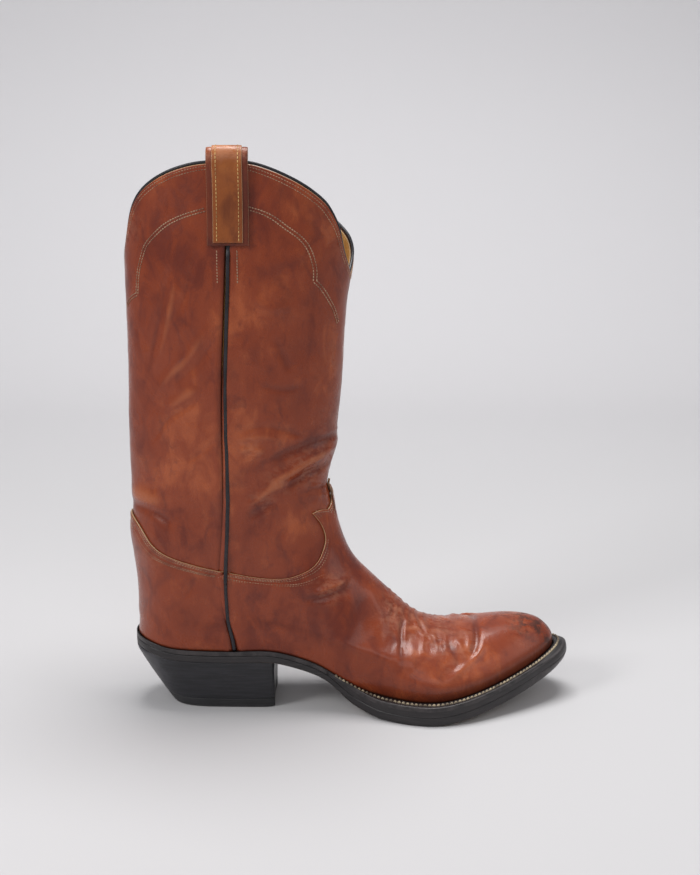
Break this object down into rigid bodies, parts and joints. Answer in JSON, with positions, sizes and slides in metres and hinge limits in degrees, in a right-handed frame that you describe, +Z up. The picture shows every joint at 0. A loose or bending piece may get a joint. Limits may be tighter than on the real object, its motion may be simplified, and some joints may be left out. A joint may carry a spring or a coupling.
{
  "type": "cowboy boot",
  "caption": "Western riding boot for a right foot: tall leather shaft with scalloped top and pull straps, piped side seams, stitched vamp, welted leather sole and underslung stacked heel.",
  "frame": {"origin": "on the floor, at the middle of the boot's length and width", "axes": "+X towards the toe, +Z up the shaft, -Y towards the outer (lateral) side of the foot"},
  "size_m": [0.3027, 0.1123, 0.3816],
  "materials": {
    "brown_leather": "glossy marbled reddish brown, fine grain",
    "strap_leather": "reddish tan, worn paler on the fold",
    "strap_overlay_leather": "tan orange, satin",
    "tan_lining_leather": "matte golden tan",
    "insole_leather": "matte undyed",
    "stiffener_leather": "matte undyed",
    "black_trim_leather": "satin black",
    "black_sole_leather": "burnished black edge",
    "black_rubber": "matte black",
    "steel": "plain",
    "lemonwood": "plain",
    "cork": "rough granulated"
  },
  "bodies": {
    "root": {"back_shaft": "brown_leather", "back_shaft_lining": "tan_lining_leather", "cork_filler": "cork", "front_shaft": "brown_leather", "front_shaft_lining": "tan_lining_leather", "heel_cap": "black_rubber", "heel_counter_cover": "brown_leather", "heel_counter_stiffener": "stiffener_leather", "heel_lift_1": "black_sole_leather", "heel_lift_2": "black_sole_leather", "heel_lift_3": "black_sole_leather", "heel_lift_4": "black_sole_leather", "heel_lining": "tan_lining_leather", "heel_nail_1": "steel", "heel_nail_2": "steel", "heel_nail_3": "steel", "heel_nail_4": "steel", "heel_nail_5": "steel", "heel_rand": "black_sole_leather", "heel_seat_lift": "black_sole_leather", "insole": "insole_leather", "midsole": "black_sole_leather", "outsole": "black_sole_leather", "pull_strap_lateral": "strap_leather", "pull_strap_medial": "strap_leather", "pull_strap_overlay_lateral": "strap_overlay_leather", "pull_strap_overlay_medial": "strap_overlay_leather", "shank": "steel", "side_liner_lateral": "stiffener_leather", "side_liner_medial": "stiffener_leather", "side_piping_lateral": "black_trim_leather", "side_piping_medial": "black_trim_leather", "sock_lining": "tan_lining_leather", "sole_peg_1": "lemonwood", "sole_peg_2": "lemonwood", "sole_peg_3": "lemonwood", "sole_peg_4": "lemonwood", "sole_peg_5": "lemonwood", "sole_peg_6": "lemonwood", "toe_puff": "stiffener_leather", "top_beading_back": "black_trim_leather", "top_beading_front": "black_trim_leather", "vamp": "brown_leather", "vamp_lining": "tan_lining_leather", "welt": "black_sole_leather"}
  },
  "joints": []
}
